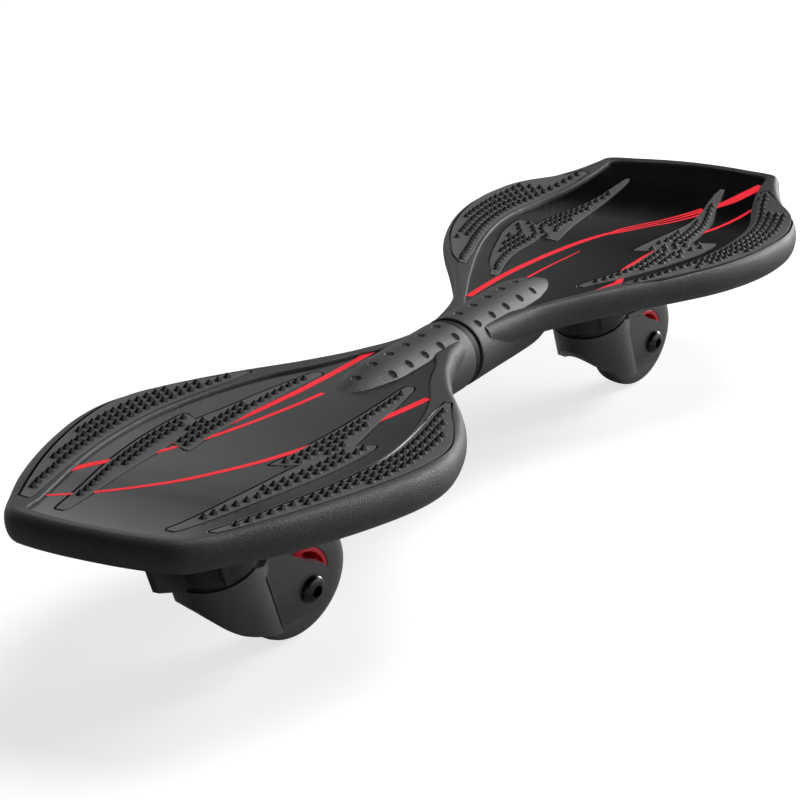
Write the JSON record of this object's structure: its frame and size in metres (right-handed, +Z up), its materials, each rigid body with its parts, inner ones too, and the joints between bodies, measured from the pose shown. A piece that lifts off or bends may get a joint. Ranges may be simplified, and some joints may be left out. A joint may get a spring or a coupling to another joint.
{
  "type": "caster board",
  "caption": "Two-wheeled caster board: two dished foot decks joined by a sprung twisting neck, each on a leaning, trailing swivel caster.",
  "frame": {"origin": "on the ground, under the middle of the board's length and width", "axes": "+Z up, -X toward the nose and the way it rides, +Y to the rider's right when facing the nose"},
  "size_m": [0.861, 0.254, 0.1362],
  "materials": {
    "deck_plastic": "fine-grained dark grey",
    "grip_rubber": "studded dark grey",
    "fork_plastic": "satin dark grey",
    "red_plastic": "bright red",
    "tyre": "dark grey urethane",
    "black_rubber": "black",
    "steel": "zinc plated",
    "spring_steel": "oiled spring steel",
    "black_steel": "gloss black",
    "bush_plastic": "natural nylon"
  },
  "bodies": {
    "front_board": {"front_deck": "deck_plastic", "front_outer_pad_left": "grip_rubber", "front_outer_pad_right": "grip_rubber", "front_inner_pad_left": "grip_rubber", "front_inner_pad_right": "grip_rubber", "neck_ring": "black_rubber", "neck_tube": "steel", "torsion_bar": "spring_steel", "front_anchor": "steel", "front_cross_bolt": "black_steel", "front_base_plate": "black_steel", "front_plate_screw_1": "steel", "front_plate_screw_2": "steel", "front_plate_screw_3": "steel", "front_plate_screw_4": "steel", "front_upper_race": "steel", "front_ball_ring": "steel", "front_kingpin": "steel", "front_kingpin_nut": "steel"},
    "rear_board": {"rear_deck": "deck_plastic", "rear_outer_pad_left": "grip_rubber", "rear_outer_pad_right": "grip_rubber", "rear_inner_pad_left": "grip_rubber", "rear_inner_pad_right": "grip_rubber", "inner_bush": "bush_plastic", "outer_bush": "bush_plastic", "rear_anchor": "steel", "rear_cross_bolt": "black_steel", "rear_base_plate": "black_steel", "rear_plate_screw_1": "steel", "rear_plate_screw_2": "steel", "rear_plate_screw_3": "steel", "rear_plate_screw_4": "steel", "rear_upper_race": "steel", "rear_ball_ring": "steel", "rear_kingpin": "steel", "rear_kingpin_nut": "steel"},
    "front_caster": {"front_fork": "fork_plastic", "front_lower_race": "steel", "front_left_bearing_inner_ring": "steel", "front_right_bearing_inner_ring": "steel", "front_bearing_spacer": "steel", "front_axle_bolt": "black_steel", "front_axle_nut": "steel"},
    "rear_caster": {"rear_fork": "fork_plastic", "rear_lower_race": "steel", "rear_left_bearing_inner_ring": "steel", "rear_right_bearing_inner_ring": "steel", "rear_bearing_spacer": "steel", "rear_axle_bolt": "black_steel", "rear_axle_nut": "steel"},
    "front_wheel": {"front_tyre": "tyre", "front_hub": "red_plastic", "front_left_bearing_outer_ring": "steel", "front_right_bearing_outer_ring": "steel"},
    "rear_wheel": {"rear_tyre": "tyre", "rear_hub": "red_plastic", "rear_left_bearing_outer_ring": "steel", "rear_right_bearing_outer_ring": "steel"}
  },
  "joints": [
    {"name": "deck_twist", "type": "hinge", "parent": "front_board", "child": "rear_board", "pos_m": [-0.0115, 0, 0.1021], "axis": [1, 0, 0], "range_deg": [-25, 25], "stiffness_Nm_per_rad": 18},
    {"name": "front_swivel", "type": "hinge", "parent": "front_board", "child": "front_caster", "pos_m": [-0.3065, 0, 0.06779], "axis": [-0.4274, 0, 0.9041], "continuous": true},
    {"name": "rear_swivel", "type": "hinge", "parent": "rear_board", "child": "rear_caster", "pos_m": [0.2205, 0, 0.06737], "axis": [-0.4274, 0, 0.9041], "continuous": true},
    {"name": "front_wheel_spin", "type": "hinge", "parent": "front_caster", "child": "front_wheel", "pos_m": [-0.24808, -0.0127, 0.03789], "axis": [0.2734, 0.9532, 0.1292], "continuous": true},
    {"name": "rear_wheel_spin", "type": "hinge", "parent": "rear_caster", "child": "rear_wheel", "pos_m": [0.27969, -0.00959, 0.03784], "axis": [0.2064, 0.9736, 0.0976], "continuous": true}
  ]
}
